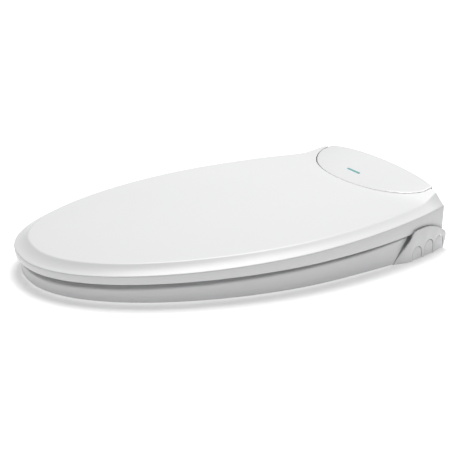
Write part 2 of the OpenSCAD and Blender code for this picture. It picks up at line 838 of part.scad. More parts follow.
base_tray();
housing_cover();
top_panel();
status_window();
control_side_cover();
plain_side_cover();
button_board();
main_board();
board_cover();
water_heater();
inlet_valve();
inlet_fitting();
inlet_strainer();
supply_hose();
flow_divider();
wash_hose();
nozzle_guide();
nozzle_guard();
nozzle_motors();
dryer_housing();
dryer_motor();
dryer_duct();
dryer_grille();
deodorizer_housing();
hinge_pins();
hinge_dampers();
cord_gland();
night_light();
base_feet();
base_screws();
rear_nozzle();
front_nozzle();
dryer_impeller();
deodorizer_impeller();
filter_cartridge();
release_button();
mounting_bracket();
bracket_pad();
stop_button();
rear_wash_button();
front_wash_button();
seat_top_shell();
seat_bottom_shell();
seat_heater();
seat_bumpers();
seat_hinge_arms();
lid_shell();
lid_bumpers();
lid_hinge_lugs();
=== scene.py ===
import math
import bmesh
import bpy
from mathutils import Matrix, Vector


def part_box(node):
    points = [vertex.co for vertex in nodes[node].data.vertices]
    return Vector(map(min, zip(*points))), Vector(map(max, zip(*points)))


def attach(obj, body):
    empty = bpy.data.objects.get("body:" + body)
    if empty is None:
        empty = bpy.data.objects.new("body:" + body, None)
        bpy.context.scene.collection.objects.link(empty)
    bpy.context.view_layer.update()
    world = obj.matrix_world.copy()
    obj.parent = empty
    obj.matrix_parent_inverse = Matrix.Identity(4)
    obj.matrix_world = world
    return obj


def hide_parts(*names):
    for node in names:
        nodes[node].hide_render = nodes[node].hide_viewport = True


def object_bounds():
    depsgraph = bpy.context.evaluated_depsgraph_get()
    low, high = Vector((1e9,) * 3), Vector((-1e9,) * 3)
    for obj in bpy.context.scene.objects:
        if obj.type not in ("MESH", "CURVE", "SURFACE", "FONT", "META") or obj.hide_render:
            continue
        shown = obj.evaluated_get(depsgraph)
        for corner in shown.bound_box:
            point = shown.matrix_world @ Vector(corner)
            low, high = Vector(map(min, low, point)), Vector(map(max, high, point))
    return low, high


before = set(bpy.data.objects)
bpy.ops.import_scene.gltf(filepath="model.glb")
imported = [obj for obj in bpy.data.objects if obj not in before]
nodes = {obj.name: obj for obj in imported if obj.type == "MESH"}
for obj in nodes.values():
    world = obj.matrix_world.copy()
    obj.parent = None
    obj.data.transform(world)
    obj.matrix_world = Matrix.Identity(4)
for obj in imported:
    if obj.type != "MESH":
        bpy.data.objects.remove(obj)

cad_box = [list(corner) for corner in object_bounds()]
MM = 0.001

# ---- Camera, floor and light ----
# A long lens looks at the seat from the front corner on the buttons' side, a little
# above it. The floor is a white sweep that glows faintly, under one broad panel.

TARGET = Vector((0.0, -0.1887, 0.017))
CAMERA_TURN = math.radians(62.09)
CAMERA_RISE = math.radians(19.98)
CAMERA_AWAY = 1.272
LENS = 73.1
FLOOR_SIZE = 30.0
FLOOR_DROP = 0.0002
GLOW_NEAR, GLOW_FAR = 0.7, 2.5
LAMP_PLACE = (-0.62, 0.25, 2.4)
LAMP_SIZE = (1.4, 1.5)
LAMP_POWER = 68
WORLD_LIGHT = 0.18


def place_camera():
    """A camera that looks at TARGET from CAMERA_AWAY metres."""
    data = bpy.data.cameras.new("camera")
    data.lens = LENS
    data.sensor_width = 36.0
    data.clip_start = 0.05
    data.clip_end = 50.0
    camera = bpy.data.objects.new("camera", data)
    away = Vector((math.sin(CAMERA_TURN) * math.cos(CAMERA_RISE),
                   -math.cos(CAMERA_TURN) * math.cos(CAMERA_RISE), math.sin(CAMERA_RISE)))
    camera.location = TARGET + CAMERA_AWAY * away
    camera.rotation_euler = (-away).to_track_quat("-Z", "Y").to_euler()
    bpy.context.scene.collection.objects.link(camera)
    bpy.context.scene.camera = camera


class Link:
    """A value in a material: its operators add Math nodes to the tree."""

    def __init__(self, shader, socket):
        self.shader = shader
        self.socket = socket

    def math(self, operation, *values):
        return self.shader.node("ShaderNodeMath", {"operation": operation}, dict(enumerate(values)))

    def __add__(self, other):
        return self.math("ADD", self, other)

    def __mul__(self, other):
        return self.math("MULTIPLY", self, other)

    def __pow__(self, other):
        return self.math("POWER", self, other)

    __radd__ = __add__
    __rmul__ = __mul__


class Shader:
    """One material's node tree, round a Principled shader."""

    def __init__(self, name):
        self.material = bpy.data.materials.new(name)
        self.material.use_nodes = True
        self.tree = self.material.node_tree
        self.surface = self.tree.nodes["Principled BSDF"]
        self.place = self.node("ShaderNodeTexCoord", {}, {}, "Object")

    def node(self, kind, settings, inputs, output=0):
        made = self.tree.nodes.new(kind)
        for name, value in settings.items():
            if name == "stops":
                while len(made.color_ramp.elements) < len(value):
                    made.color_ramp.elements.new(0.5)
                for stop, (at, shade) in zip(made.color_ramp.elements, value):
                    stop.position = at
                    stop.color = (*shade, 1.0)
            else:
                setattr(made, name, value)
        for name, value in inputs.items():
            self.feed(made.inputs[name], value)
        return Link(self, made.outputs[output])

    def feed(self, socket, value):
        if isinstance(value, Link):
            self.tree.links.new(value.socket, socket)
        else:
            socket.default_value = value

    def set(self, **values):
        for name, value in values.items():
            self.feed(self.surface.inputs[name.replace("_", " ")], value)

    def noise(self, scale, detail=3.0, rough=0.5, stretch=None):
        where = self.place
        if stretch:
            where = self.node("ShaderNodeVectorMath", {"operation": "MULTIPLY"},
                              {0: self.place, 1: stretch})
        return self.node("ShaderNodeTexNoise", {},
                         {"Vector": where, "Scale": scale, "Detail": detail, "Roughness": rough}, "Fac")

    def blend(self, factor, low, high):
        return self.node("ShaderNodeMix", {"data_type": "RGBA"},
                         {0: factor, 6: (*low, 1.0), 7: (*high, 1.0)}, 2)

    def bump(self, height, depth, strength):
        self.set(Normal=self.node("ShaderNodeBump", {},
                                  {"Height": height, "Distance": depth, "Strength": strength}, "Normal"))


def floor_material():
    sweep = Shader("white_sweep")
    cloud = sweep.noise(2.0)
    # Painted light: the floor's own glow is dim near the seat and grows brighter far off, so the far floor
    # stays white where the lamp's light falls off, and the glow lifts the shadow near the seat.
    away = sweep.node("ShaderNodeVectorMath", {"operation": "LENGTH"}, {0: sweep.place}, "Value")
    far = sweep.node("ShaderNodeMapRange", {"interpolation_type": "SMOOTHSTEP"},
                     {"Value": away, "From Min": GLOW_NEAR, "From Max": GLOW_FAR})
    sweep.set(Base_Color=sweep.blend(cloud, (0.86, 0.86, 0.865), (0.88, 0.88, 0.88)),
              Roughness=0.3 + 0.05 * cloud, Specular_IOR_Level=0.15, Emission_Strength=1.0,
              Emission_Color=sweep.blend(far, (0.36, 0.36, 0.36), (0.8, 0.8, 0.8)))
    return sweep.material


def light_panel(name, place, size, power, aim=TARGET):
    data = bpy.data.lights.new(name, "AREA")
    data.shape = "RECTANGLE"
    data.size, data.size_y = size
    data.energy = power
    lamp = bpy.data.objects.new(name, data)
    lamp.location = place
    lamp.rotation_euler = (aim - Vector(place)).to_track_quat("-Z", "Y").to_euler()
    bpy.context.scene.collection.objects.link(lamp)


place_camera()
bpy.ops.mesh.primitive_plane_add(size=FLOOR_SIZE, location=(0, 0, cad_box[0][2] - FLOOR_DROP))
floor = bpy.context.object
floor.name = "floor"
floor.data.materials.append(floor_material())
light_panel("overhead", LAMP_PLACE, LAMP_SIZE, LAMP_POWER)
world = bpy.data.worlds.new("studio")
world.use_nodes = True
world.node_tree.nodes["Background"].inputs["Color"].default_value = (1.0, 1.0, 1.0, 1.0)
world.node_tree.nodes["Background"].inputs["Strength"].default_value = WORLD_LIGHT
bpy.context.scene.world = world
bpy.context.scene.view_settings.view_transform = "Standard"

# ---- Lid ----
# One white moulding, 3 mm thick: a nearly flat top, a sloping band, a hem that
# overhangs the ring, and two arms that run back each side of the fixed panel.

lid_low, lid_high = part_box("lid_shell")
LID_W = (lid_high[0] - lid_low[0]) / MM
NOSE_Y = -lid_low[1] / MM
REAR_Y = 50.0
WIDE_Y = 170.0
TAPER = 38.0
BEVEL = 18.0
CROWN = 3.5
WALL = 3.0
NOSE_POW = 1.78
SIDE_POW = 2.23
DOME_Y = 5.0
DOME_TOP = 41.9
DOME_FALL_BACK, DOME_RUN_BACK = 17, 49
DOME_FALL_FRONT, DOME_RUN_FRONT = 3.8, 30.7
HEM_NOSE, HEM_BACK = 25, 38.4
CREASE_NOSE, CREASE_RISE, CREASE_SAG = 34.3, 25.8, 5.9
TOP_NOSE, TOP_BACK = 43.3, 64.6
RAMP_Z, RAMP_SLOPE, RAMP_Y, RAMP_CROWN = 66, 0.294, 13, 0.0006
RAMP_BLEND = 3
CUT_START = 0.8
CUT_Y, CUT_DEEP, CUT_WIDE = 60, 74.5, 129
SPINE_START = 100
ARM_X = 124.0
BAND_STEPS = (0.2, 0.4, 0.6, 0.8)


def mix(a, b, t):
    return a + (b - a) * t


def mix_points(p, q, t):
    return tuple(mix(a, b, t) for a, b in zip(p, q))


def ease(a, b, value):
    t = min(1.0, max(0.0, (value - a) / (b - a)))
    return t * t * (3 - 2 * t)


def half_width(y, inset=0.0):
    """Half the lid's width at y, drawn in by inset."""
    if y < -WIDE_Y:
        part = (-WIDE_Y - y) / (NOSE_Y - WIDE_Y - inset)
        return (LID_W / 2 - inset) * max(0.0, 1 - part ** NOSE_POW) ** (1 / SIDE_POW)
    return LID_W / 2 - inset - TAPER * ((y + WIDE_Y) / (REAR_Y + WIDE_Y)) ** 2


def rim(u, inset, y_end):
    """Point of the outline from the tip (u = 0) back to y_end (u = 1)."""
    if u < 0.6:
        a = math.radians(90 * u / 0.6)
        return ((LID_W / 2 - inset) * math.sin(a) ** (2 / SIDE_POW),
                -WIDE_Y - (NOSE_Y - WIDE_Y - inset) * max(0.0, math.cos(a)) ** (2 / NOSE_POW))
    y = mix(-WIDE_Y, y_end, (u - 0.6) / 0.4)
    return (half_width(y, inset), y)


def along(y):
    return (y + NOSE_Y) / (NOSE_Y + REAR_Y)


def dome_z(y):
    if y > DOME_Y:
        return DOME_TOP - DOME_FALL_BACK * ((y - DOME_Y) / DOME_RUN_BACK) ** 2
    return DOME_TOP - DOME_FALL_FRONT * ((DOME_Y - y) / DOME_RUN_FRONT) ** 2


def hem_z(y):
    z = mix(HEM_NOSE, HEM_BACK, along(y))
    return z if y < DOME_Y else min(z, dome_z(y) - 3.5)


def crease_z(y):
    s = along(y)
    return CREASE_NOSE + CREASE_RISE * s + CREASE_SAG * s * (s - 1)


def ramp_z(x, y):
    return RAMP_Z + RAMP_SLOPE * (y + RAMP_Y) - RAMP_CROWN * x * x


def lid_z(x, y):
    """Height of the lid's top: a crowned flat that turns up into the panel's ramp."""
    fade = 1.0
    if y < -WIDE_Y:
        fade = max(0.0, 1 - ((-WIDE_Y - y) / (NOSE_Y - WIDE_Y - BEVEL)) ** 2)
    crown = CROWN * max(0.0, 1 - (x / (half_width(y, BEVEL) + 1)) ** 2) * fade
    flat = mix(TOP_NOSE, TOP_BACK, along(y)) + crown
    ramp = ramp_z(x, y)
    near = max(RAMP_BLEND - abs(flat - ramp), 0) / RAMP_BLEND
    return max(flat, ramp) + near * near * RAMP_BLEND / 4


def cut_point(f):
    """Edge of the lid's cut-out, from the middle (0) to the end of an arm (1)."""
    bend = 0.85
    x = ARM_X * min(1.0, f / bend)
    y = CUT_Y - CUT_DEEP * math.sqrt(1 - (x / CUT_WIDE) ** 2)
    if f < bend:
        return (x, y)
    return (ARM_X, mix(y, REAR_Y + 1, (f - bend) / (1 - bend)))


def spine(u):
    if u <= CUT_START:
        return (0.0, mix(-NOSE_Y + SPINE_START, CUT_Y - CUT_DEEP, u / CUT_START))
    return cut_point((u - CUT_START) / (1 - CUT_START))


def rounded(before, corner, after, cut, steps=5):
    """Points that round a corner off over cut millimetres each way."""
    a, b, c = Vector(before), Vector(corner), Vector(after)
    start = b + (a - b).normalized() * min(cut, (a - b).length * 0.45)
    end = b + (c - b).normalized() * min(cut, (c - b).length * 0.45)
    out = []
    for k in range(steps + 1):
        t = k / steps
        out.append(tuple(start * (1 - t) ** 2 + b * 2 * t * (1 - t) + end * t * t))
    return out


def at(point, z):
    return (point[0], point[1], z)


def lid_section(u):
    """Closed section of the lid's right half at u, from the hem over the top and back."""
    hem_y = rim(u, 0.8, REAR_Y)[1]
    hem = at(rim(u, 0.8, REAR_Y), hem_z(hem_y))
    hem_in = at(rim(u, 3.2, REAR_Y), hem_z(hem_y))
    crease = at(rim(u, 0, REAR_Y), crease_z(hem_y))
    edge_xy, end = rim(u, BEVEL, REAR_Y), spine(u)
    edge = at(edge_xy, lid_z(*edge_xy))
    flat = [mix_points(edge_xy, end, k / 26) for k in range(1, 27)]
    top = [at(p, lid_z(*p)) for p in flat]
    soft = mix(1.6, 8.0, ease(-300, -20, hem_y))
    sag = mix(1.5, 0.7, ease(-350, 0, hem_y))
    band = [mix_points(crease, edge, t) for t in BAND_STEPS]
    band = [at(p, p[2] - sag * 4 * t * (1 - t)) for p, t in zip(band, BAND_STEPS)]
    outer = rounded(hem_in, hem, crease, 0.9, 3) + rounded(hem, crease, band[0], 1.4, 4) + band
    outer += rounded(band[3], edge, top[1], soft, 6) + top[2:]
    crease_in = at(rim(u, 3.3, REAR_Y), crease[2] - 3.3)
    edge_in_xy = rim(u, BEVEL + 1, REAR_Y)
    under = [at(mix_points(edge_in_xy, end, k / 12), 0) for k in range(13)]
    under = [(x, y, lid_z(x, y) - WALL) for x, y, _ in under]
    return outer + under[::-1] + [crease_in, hem_in]


def link_mesh(name, mesh, material, body, *replaced):
    """Puts a finished mesh in the scene and rides it on a body."""
    piece = bpy.data.objects.new(name, mesh)
    bpy.context.scene.collection.objects.link(piece)
    if not piece.data.materials:
        piece.data.materials.append(material)
    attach(piece, body)
    if replaced:
        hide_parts(*replaced)
    return piece


def loft(sections, closed=False, open_side=None):
    """A bmesh skinned over closed sections. open_side(a, b) is true for edges left unskinned."""
    made = bmesh.new()
    rings = [[made.verts.new(Vector(p) * MM) for p in section] for section in sections]
    count = len(rings[0])
    last = len(rings) if closed else len(rings) - 1
    for i in range(last):
        here, there = rings[i], rings[(i + 1) % len(rings)]
        for j in range(count):
            k = (j + 1) % count
            if open_side and open_side(here[j].co, here[k].co) and open_side(there[j].co, there[k].co):
                continue
            made.faces.new((here[j], here[k], there[k], there[j]))
    if not closed:
        for ring in (rings[0], rings[-1]):
            if not (open_side and all(abs(v.co.x) < 1e-7 for v in ring)):
                made.faces.new(ring)
    return made


def finish_mesh(made, name, mirror=False, smooth_angle=35, merge=1e-6):
    """Mirrors, welds and smooths a bmesh, and returns it as a mesh."""
    if mirror:
        copy = bmesh.ops.duplicate(made, geom=made.verts[:] + made.edges[:] + made.faces[:])
        twins = [g for g in copy["geom"] if isinstance(g, bmesh.types.BMVert)]
        for vert in twins:
            vert.co.x = -vert.co.x
        faces = [g for g in copy["geom"] if isinstance(g, bmesh.types.BMFace)]
        bmesh.ops.reverse_faces(made, faces=faces)
    bmesh.ops.remove_doubles(made, verts=made.verts[:], dist=merge)
    bmesh.ops.recalc_face_normals(made, faces=made.faces[:])
    for face in made.faces:
        face.smooth = True
    mesh = bpy.data.meshes.new(name)
    made.to_mesh(mesh)
    made.free()
    mesh.set_sharp_from_angle(angle=math.radians(smooth_angle))
    return mesh


def white_moulding(name, shade, gloss):
    """Glossy white plastic: faint flow marks, a fine skin and a thin coat."""
    plastic = Shader(name)
    flow = plastic.noise(6.0, 2.0)
    fine = plastic.noise(90.0, 4.0)
    low = (shade * 0.985, shade * 0.99, shade)
    high = (shade * 1.01, shade * 1.01, shade * 1.012)
    plastic.set(Base_Color=plastic.blend(flow, low, high), Roughness=gloss + 0.05 * fine + 0.03 * flow,
                IOR=1.49, Coat_Weight=0.1, Coat_Roughness=0.25)
    plastic.bump(fine, 0.00003, 0.4)
    return plastic.material


def on_middle(a, b):
    return abs(a.x) < 1e-7 and abs(b.x) < 1e-7


LID_STEPS = 120
lid_white = white_moulding("lid_white", 0.81, 0.4)
lid_sections = [lid_section(k / LID_STEPS) for k in range(LID_STEPS + 1)]
lid_mesh = finish_mesh(loft(lid_sections, open_side=on_middle), "lid", mirror=True)
lid = link_mesh("lid", lid_mesh, lid_white, "lid", "lid_shell")


# ---- Seat ring ----
# A closed moulding round the open bowl: a flat outer wall under the lid's hem,
# a crowned top that dips to the inner edge, a plate below and six grey pads.

HOLE_W = 107.0
HOLE_L = 150.0
HOLE_Y = -245.0
SIDE_V = 0.8
SEAT_STEPS = 110
SEAT_TIP = 473
BACK_Y, BACK_LEAN = -48.3, 0.842
WALL_NOSE, WALL_BACK, WALL_RUN = 22, 33, 425
DROP_NOSE, DROP_BACK, DROP_RUN = 5.8, 3.3, 363


def back_y(z):
    """The ring's back face leans forward towards its foot."""
    return BACK_Y + BACK_LEAN * z


def seat_wall_z(y):
    """Top of the outer wall, which stands further below the lid's hem towards the tip."""
    wall = mix(WALL_NOSE, WALL_BACK, (y + SEAT_TIP) / WALL_RUN)
    drop = mix(DROP_NOSE, DROP_BACK, (y + SEAT_TIP) / DROP_RUN)
    return wall - drop * (1 - ease(-115, -48, y))


def seat_low_z(x, y):
    """Underside of the ring, raised at the back over the nozzles."""
    return 2.5 + 13.5 * (1 - ease(24, 50, abs(x))) * ease(-76, -60, y)


def seat_outer(v, inset, z):
    """Outer edge of the ring at height z, from the tip (v = 0) to the back centre (1)."""
    if v <= SIDE_V:
        guess = rim(v / SIDE_V, 0, back_y(z) - inset)
        return rim(v / SIDE_V, inset + mix(7, 4.5, ease(-110, -44, guess[1])), back_y(z) - inset)
    corner = rim(1, inset + 4.5, back_y(z) - inset)
    return (corner[0] * (1 - (v - SIDE_V) / (1 - SIDE_V)), corner[1])


def seat_hole(v, out):
    a = math.pi * v
    return ((HOLE_W + out) * max(0.0, math.sin(a)) ** 0.92, HOLE_Y - (HOLE_L + out) * math.cos(a))


def cut_corners(points):
    """Rounds an open line of points by cutting its corners twice."""
    line = [Vector(p) for p in points]
    for _ in range(2):
        cut = [line[0]]
        for a, b in zip(line, line[1:]):
            cut += [a * 0.75 + b * 0.25, a * 0.25 + b * 0.75]
        line = cut + [line[-1]]
    return [tuple(p) for p in line]


def seat_lines(v, wall):
    """The ring's skin at v, drawn in by wall: foot, wall, shoulder, crown and inner edge."""
    rough = seat_outer(v, 0, 2.5)
    foot = seat_low_z(*rough)
    top = seat_wall_z(min(-30, rough[1]))
    shoulder = seat_outer(v, 6 + wall * 0.7, top)
    dip = seat_hole(v, 3 + wall)
    return [at(seat_outer(v, wall, foot), foot), at(seat_outer(v, wall, top), top - wall),
            at(shoulder, top + 2.5 - wall), at(mix_points(shoulder, dip, 0.35), top + 8 - wall),
            at(mix_points(shoulder, dip, 0.75), top + 4 - wall), at(dip, top - 3 - wall),
            at(seat_hole(v, wall), 5)]


def seat_section(v):
    skin = seat_lines(v, 0)
    inner = seat_lines(v, WALL)
    outer = [skin[0]] + rounded(skin[0], skin[1], skin[2], 2.5, 4)
    outer += cut_corners(skin[2:6]) + skin[5:7]
    return outer + inner[::-1]


def around(section, steps):
    """Sections for the whole ring: the right half, then its mirror image back to the tip."""
    right = [section(k / steps) for k in range(steps + 1)]
    left = [[(-x, y, z) for x, y, z in right[k]] for k in range(steps - 1, 0, -1)]
    return right + left


def plate_section(v):
    foot = seat_low_z(*seat_outer(v, 0, 2.5))
    edge, hole = seat_outer(v, WALL + 0.4, foot), seat_hole(v, WALL + 2)
    ribs = [mix_points(edge, hole, f) for f in (0.06, 0.08, 0.47, 0.49, 0.92, 0.94)]
    groove = [foot, foot + 0.8, foot + 0.8, foot, foot, foot + 0.8]
    inner_z = max(5, seat_low_z(seat_outer(v, 0, 2.5)[0], -95))
    line = [mix(foot, inner_z, f) for f in (0.06, 0.08, 0.47, 0.49, 0.92, 0.94)]
    under = [at(p, z + (g - foot)) for p, z, g in zip(ribs, line, groove)]
    return ([at(edge, foot)] + under + [at(hole, inner_z), at(hole, inner_z + 2.5), at(edge, foot + 2.5)])


seat_white = white_moulding("seat_white", 0.85, 0.4)
ring_mesh = finish_mesh(loft(around(seat_section, SEAT_STEPS), closed=True), "seat_ring")
ring = link_mesh("seat_ring", ring_mesh, seat_white, "seat", "seat_top_shell")
soft_white = white_moulding("satin_white", 0.8, 0.42)
plate_mesh = finish_mesh(loft(around(plate_section, SEAT_STEPS), closed=True), "seat_plate")
plate = link_mesh("seat_plate", plate_mesh, soft_white, "seat", "seat_bottom_shell")

# ---- Top panel and status window ----
# The fixed cap let into the lid's back: a crowned ramp with a small radius all
# round, and one plain teal window with rounded ends near its front edge.

PANEL_X = 122.5
PANEL_ROUND = 1.6
PANEL_GAP = 1.5
TOWER_Z = 49


def panel_front(x, inset=0.0):
    deep, wide = CUT_DEEP - PANEL_GAP - inset, CUT_WIDE - PANEL_GAP - inset
    return CUT_Y - deep * math.sqrt(1 - (x / wide) ** 2)


def panel_rear(x, inset=0.0):
    return 52 + (6.5 - inset) * math.sqrt(max(0, 1 - (abs(x) / (PANEL_X + 4 - inset)) ** 6))


def tower_z(y):
    return TOWER_Z + RAMP_SLOPE * (y + RAMP_Y)


def panel_section(x, inset):
    """Front to back over the panel at x, drawn in by inset, with rounded top edges."""
    front, back = panel_front(x, inset), panel_rear(x, inset)
    side = max(0.0, abs(x) - (PANEL_X - inset - PANEL_ROUND))
    drop = PANEL_ROUND - math.sqrt(max(0.0, PANEL_ROUND ** 2 - side ** 2))
    foot, heel = (x, front, tower_z(front)), (x, back, tower_z(back))
    top = [mix(front, back, k / 16) for k in range(17)]
    top = [(x, y, ramp_z(x, y) - inset - drop) for y in top]
    return ([foot] + rounded(foot, top[0], top[1], PANEL_ROUND, 4) + top[2:-2]
            + rounded(top[-2], top[-1], heel, PANEL_ROUND, 4) + [heel])


def panel_shell(x):
    t = x / PANEL_X
    return panel_section(x, 0) + panel_section(t * (PANEL_X - WALL), WALL)[::-1]


def panel_stations(steps):
    even = [-PANEL_X * math.cos(math.pi * k / steps) for k in range(steps + 1)]
    return sorted(even + [s * (PANEL_X - d) for s in (-1, 1) for d in (0.3, 0.9)])


panel_white = white_moulding("panel_white", 0.84, 0.16)
panel_mesh = finish_mesh(loft([panel_shell(x) for x in panel_stations(72)]), "panel_cap")
panel = link_mesh("panel_cap", panel_mesh, panel_white, "base", "top_panel")


def window_mesh():
    """A long oval lens, rounded at both ends, that stands a hair above the panel."""
    made = bmesh.new()
    long, wide, middle, sides = 15.0, 1.5, 12.0, 48
    rings = []
    for grow, lift in ((1.0, 0.05), (1.0, 0.35), (0.9, 0.5), (0.5, 0.53)):
        ring = []
        for k in range(sides):
            a = 2 * math.pi * k / sides
            x = math.copysign(long - wide, math.cos(a)) + wide * math.cos(a) * grow
            y = middle + wide * math.sin(a) * grow
            ring.append(made.verts.new(Vector((x, y, ramp_z(x, y) + lift)) * MM))
        rings.append(ring)
    for low, high in zip(rings, rings[1:]):
        for k in range(sides):
            n = (k + 1) % sides
            made.faces.new((low[k], low[n], high[n], high[k]))
    made.faces.new(rings[-1])
    made.faces.new(rings[0][::-1])
    return finish_mesh(made, "status_light")


teal = Shader("teal_lens")
teal_glow = teal.noise(900.0, 2.0)
teal.set(Base_Color=teal.blend(teal_glow, (0.16, 0.44, 0.44), (0.24, 0.55, 0.54)),
         Roughness=0.12 + 0.08 * teal_glow, Coat_Weight=0.5)
window = link_mesh("status_light", window_mesh(), teal.material, "base", "status_window")

# ---- Control side cover and its buttons ----
# A thin curved skirt beside the housing, moulded in white. Three round-topped
# tongues are cut free on three sides and flex in at the foot when pressed.

COVER_T = 2.2
ARCH_W = 20.0
ARCH_Y = (-6.0, 18.5, 41.0)
ARCH_TOP = (19.0, 22.4, 22.0)
BUTTON_GAP = 0.9
CAP_INSET = 0.45
CAP_T = 1.9
EDGE_ROUND = 0.5
COVER_FOOT = 0.6


def cover_x(y):
    return half_width(y) + mix(-4.5, 2.6, ease(-46, -18, y))


def arch_line(y, top, width, foot, steps=14):
    """Round-topped outline in the side view, from its front foot to its back foot."""
    r = width / 2
    arc = [(y - r * math.cos(math.pi * k / steps), top - r + r * math.sin(math.pi * k / steps))
           for k in range(steps + 1)]
    return [(y - r, foot)] + arc + [(y + r, foot)]


def side_sheet(outline, name, inset, thick):
    """A plate with this side view, bent to the cover's curve, with rounded edges."""
    made = bmesh.new()
    made.faces.new([made.verts.new((0, y, z)) for y, z in outline])
    low = min(y for y, _ in outline)
    high = max(y for y, _ in outline)
    cuts = [low + k * 2.5 for k in range(1, int((high - low) / 2.5) + 1)]
    for y in cuts:
        parts = made.verts[:] + made.edges[:] + made.faces[:]
        bmesh.ops.bisect_plane(made, geom=parts, plane_co=(0, y, 0), plane_no=(0, 1, 0))
    front = made.faces[:]
    back = bmesh.ops.extrude_face_region(made, geom=front)
    for vert in [g for g in back["geom"] if isinstance(g, bmesh.types.BMVert)]:
        vert.co.x = -thick
    for vert in made.verts:
        x = cover_x(vert.co.y) - inset + vert.co.x
        vert.co = Vector((x, vert.co.y, vert.co.z)) * MM
    bmesh.ops.recalc_face_normals(made, faces=made.faces[:])
    edges = [e for e in made.edges if len(e.link_faces) == 2 and e.calc_face_angle() > math.radians(50)]
    bmesh.ops.bevel(made, geom=edges, offset=EDGE_ROUND * MM, segments=3, profile=0.5, affect="EDGES",
                    clamp_overlap=True)
    return finish_mesh(made, name, smooth_angle=40)


def cover_outline():
    """Side view of the cover, anticlockwise from its front foot, with its arches cut in."""
    line = [(-45.7, COVER_FOOT)]
    for y, top in zip(ARCH_Y, ARCH_TOP):
        line += arch_line(y, top, ARCH_W, COVER_FOOT)
    line += [(53.5, 6.5), (56.0, 12.0), (57.0, 20.0), (54.5, 24.6)]
    line += [(y, dome_z(y)) for y in range(51, -14, -3)]
    return line + [(-16.5, 36.6), (-18.5, 33.0)]


cover_white = white_moulding("cover_white", 0.83, 0.26)
control_mesh = side_sheet(cover_outline(), "control_cover", 0, COVER_T)
control_cover = link_mesh("control_cover", control_mesh, cover_white, "base", "control_side_cover")

button_white = white_moulding("button_white", 0.82, 0.24)
for name, y, top in zip(("stop_button", "rear_wash_button", "front_wash_button"), ARCH_Y, ARCH_TOP):
    outline = arch_line(y, top - BUTTON_GAP, ARCH_W - 2 * BUTTON_GAP, 1.2)
    tongue = link_mesh(name + "_cap", side_sheet(outline, name + "_cap", CAP_INSET, CAP_T),
                       button_white, name, name)

# ---- Plain side cover ----
# The skirt on the other side has no buttons. It has a slot for the filter drawer
# and a hole for the release button, and its outer edges are rounded off.


def softened(node, name, material, body, round_by=0.4, smooth=35):
    """A welded copy of a CAD node with its outer edges rounded off."""
    made = bmesh.new()
    made.from_mesh(nodes[node].data)
    bmesh.ops.remove_doubles(made, verts=made.verts[:], dist=2e-6)
    bmesh.ops.dissolve_limit(made, angle_limit=math.radians(1.0), verts=made.verts[:], edges=made.edges[:])
    edges = [e for e in made.edges
             if len(e.link_faces) == 2 and e.calc_face_angle_signed() > math.radians(40)]
    bmesh.ops.bevel(made, geom=edges, offset=round_by * MM, segments=2, profile=0.5, affect="EDGES",
                    clamp_overlap=True)
    piece = link_mesh(name, finish_mesh(made, name, smooth_angle=smooth), material, body, node)
    return piece


softened("plain_side_cover", "plain_cover", cover_white, "base", 0.5)

# ---- Pads and feet ----
# Grey moulded rubber pads: six under the ring, four between lid and ring, and
# six feet under the tray. Each is turned to a soft edge and pressed into place.


def turned(profile, steps=40):
    """A bmesh turned about Z from (radius, height) pairs that run from axis to axis."""
    made = bmesh.new()
    rings = []
    for r, h in profile:
        angles = [2 * math.pi * k / steps for k in range(steps if r > 0 else 1)]
        rings.append([made.verts.new(Vector((r * math.cos(a), r * math.sin(a), h)) * MM) for a in angles])
    for low, high in zip(rings, rings[1:]):
        for k in range(steps):
            n = (k + 1) % steps
            corners = [low[k % len(low)], low[n % len(low)], high[n % len(high)], high[k % len(high)]]
            corners = [c for i, c in enumerate(corners) if c not in corners[:i]]
            if len(corners) > 2:
                made.faces.new(corners)
    bmesh.ops.recalc_face_normals(made, faces=made.faces[:])
    return made


class Pattern:
    """A Geometry Nodes tree with named sizes, run once to give a plain mesh."""

    KINDS = {int: "NodeSocketInt", float: "NodeSocketFloat", tuple: "NodeSocketVector"}

    def __init__(self, name, **sizes):
        self.tree = bpy.data.node_groups.new(name, "GeometryNodeTree")
        self.tree.interface.new_socket("Mesh", in_out="OUTPUT", socket_type="NodeSocketGeometry")
        self.tree.interface.new_socket("Start", in_out="INPUT", socket_type="NodeSocketGeometry")
        self.values = {}
        for label, value in sizes.items():
            kind = self.KINDS.get(type(value), "NodeSocketObject")
            socket = self.tree.interface.new_socket(label, in_out="INPUT", socket_type=kind)
            self.values[socket.identifier] = value
        self.given = self.tree.nodes.new("NodeGroupInput").outputs
        self.made = self.tree.nodes.new("NodeGroupOutput").inputs

    def node(self, kind, settings, inputs, output=0):
        made = self.tree.nodes.new(kind)
        for name, value in settings.items():
            setattr(made, name, value)
        for name, value in inputs.items():
            for item in value if isinstance(value, list) else [value]:
                if isinstance(item, bpy.types.NodeSocket):
                    self.tree.links.new(item, made.inputs[name])
                else:
                    made.inputs[name].default_value = item
        return made.outputs[output]

    def run(self, name, last, material, start=()):
        """Realizes the tree's last geometry and returns it as a mesh of one material."""
        whole = self.node("GeometryNodeRealizeInstances", {}, {"Geometry": last})
        whole = self.node("GeometryNodeSetMaterial", {}, {"Geometry": whole, "Material": material})
        self.tree.links.new(whole, self.made["Mesh"])
        base = bpy.data.meshes.new(name + "_start")
        base.from_pydata([Vector(p) * MM for p in start], [], [])
        holder = bpy.data.objects.new(name + "_start", base)
        bpy.context.scene.collection.objects.link(holder)
        modifier = holder.modifiers.new("pattern", "NODES")
        modifier.node_group = self.tree
        for identifier, value in self.values.items():
            modifier[identifier] = value
        shown = holder.evaluated_get(bpy.context.evaluated_depsgraph_get())
        mesh = bpy.data.meshes.new_from_object(shown)
        mesh.name = name
        holder.modifiers.remove(modifier)
        bpy.data.objects.remove(holder)
        for face in mesh.polygons:
            face.use_smooth = True
        mesh.set_sharp_from_angle(angle=math.radians(35))
        return mesh


